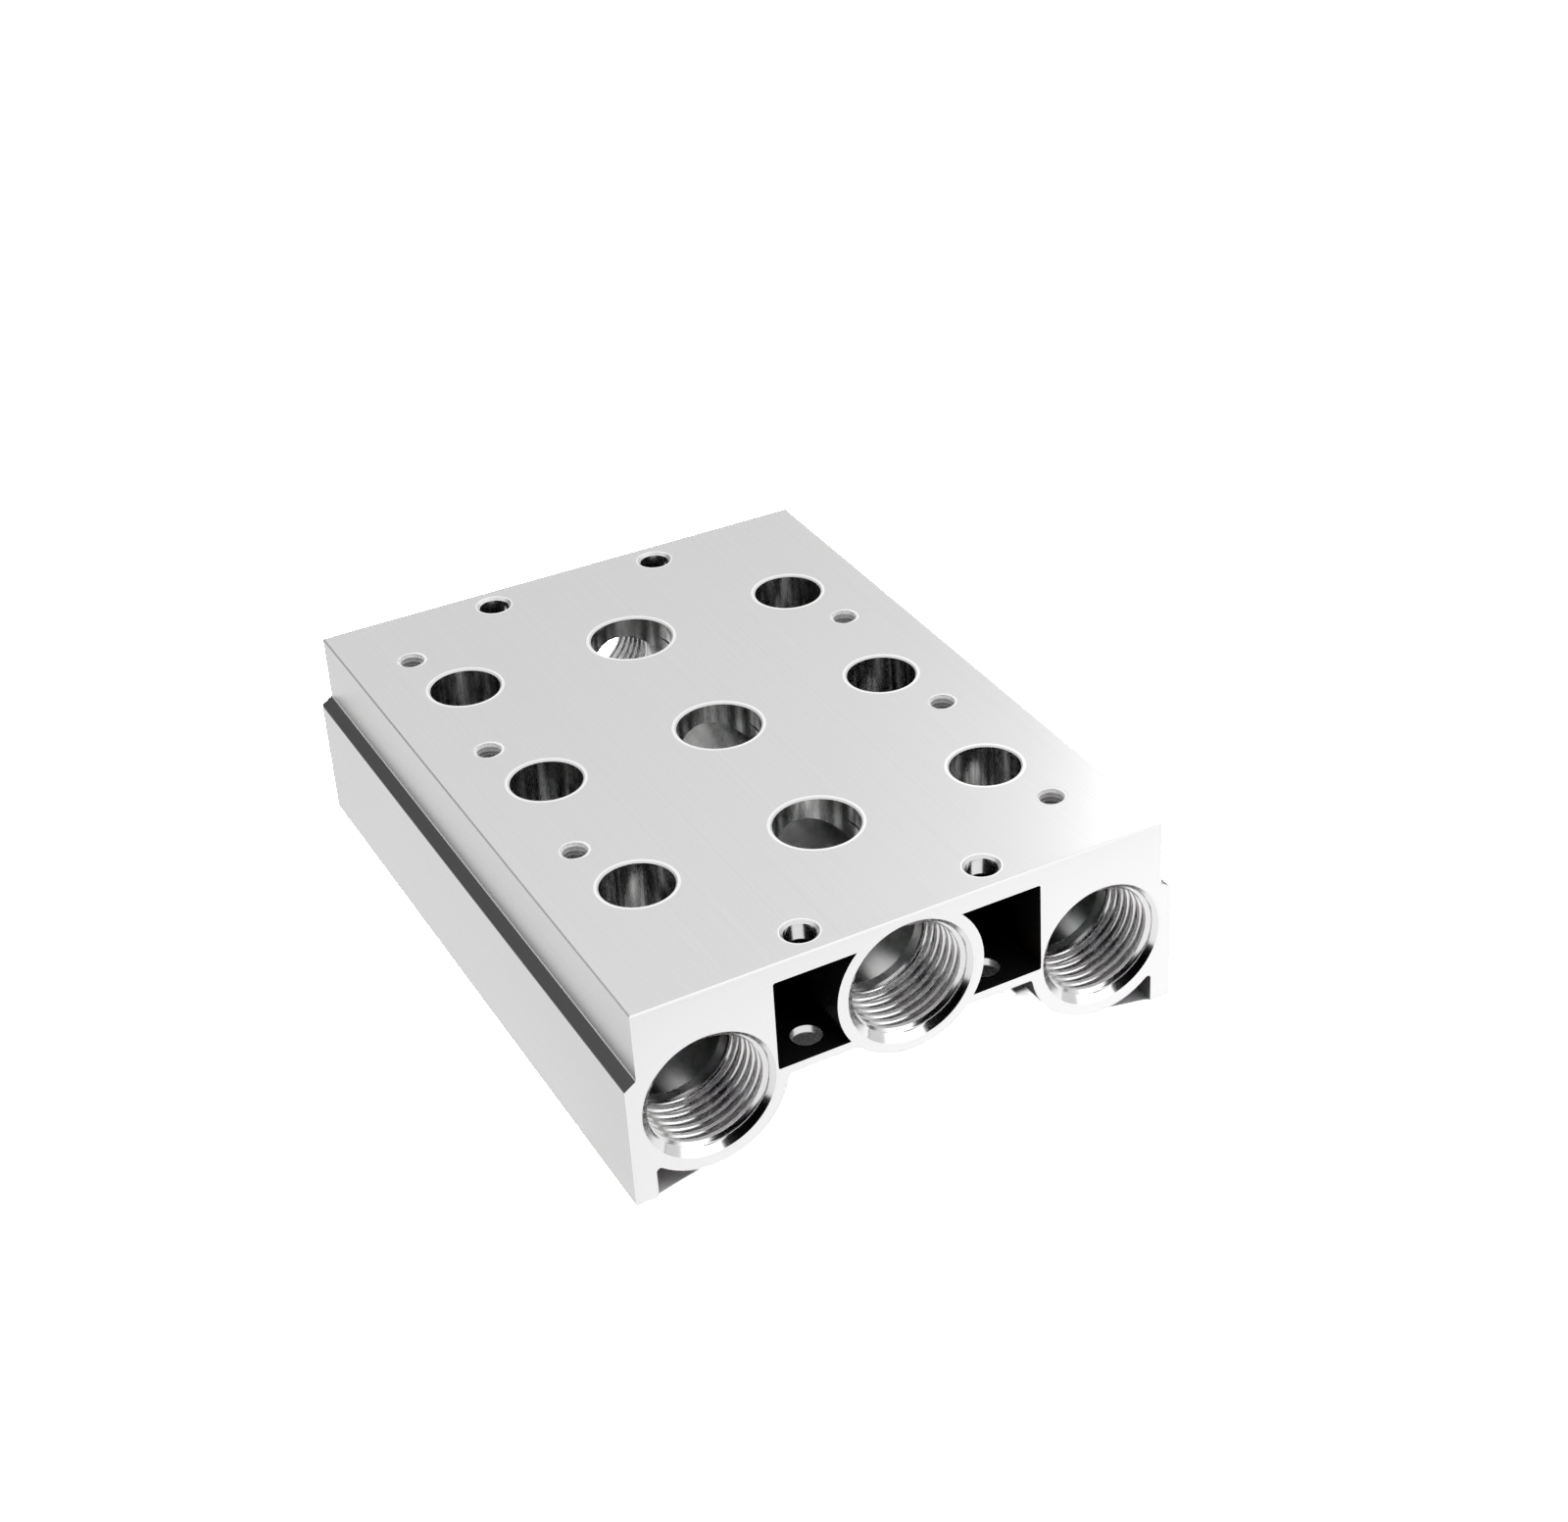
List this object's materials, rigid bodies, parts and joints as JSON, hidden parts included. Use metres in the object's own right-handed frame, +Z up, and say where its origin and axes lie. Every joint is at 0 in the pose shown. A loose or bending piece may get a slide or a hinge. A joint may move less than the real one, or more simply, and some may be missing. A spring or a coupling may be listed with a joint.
{
  "type": "solenoid valve manifold",
  "caption": "Extruded aluminium base for a row of solenoid valves, with threaded supply and exhaust channels.",
  "frame": {"origin": "middle of the footprint, in the plane that the two feet stand on", "axes": "+X across the block to the right, +Y along the extrusion from the front ports to the back ports, +Z up"},
  "size_m": [0.097, 0.1296, 0.035],
  "materials": {
    "aluminium": "satin"
  },
  "bodies": {
    "root": {"manifold_block": "aluminium"}
  },
  "joints": []
}
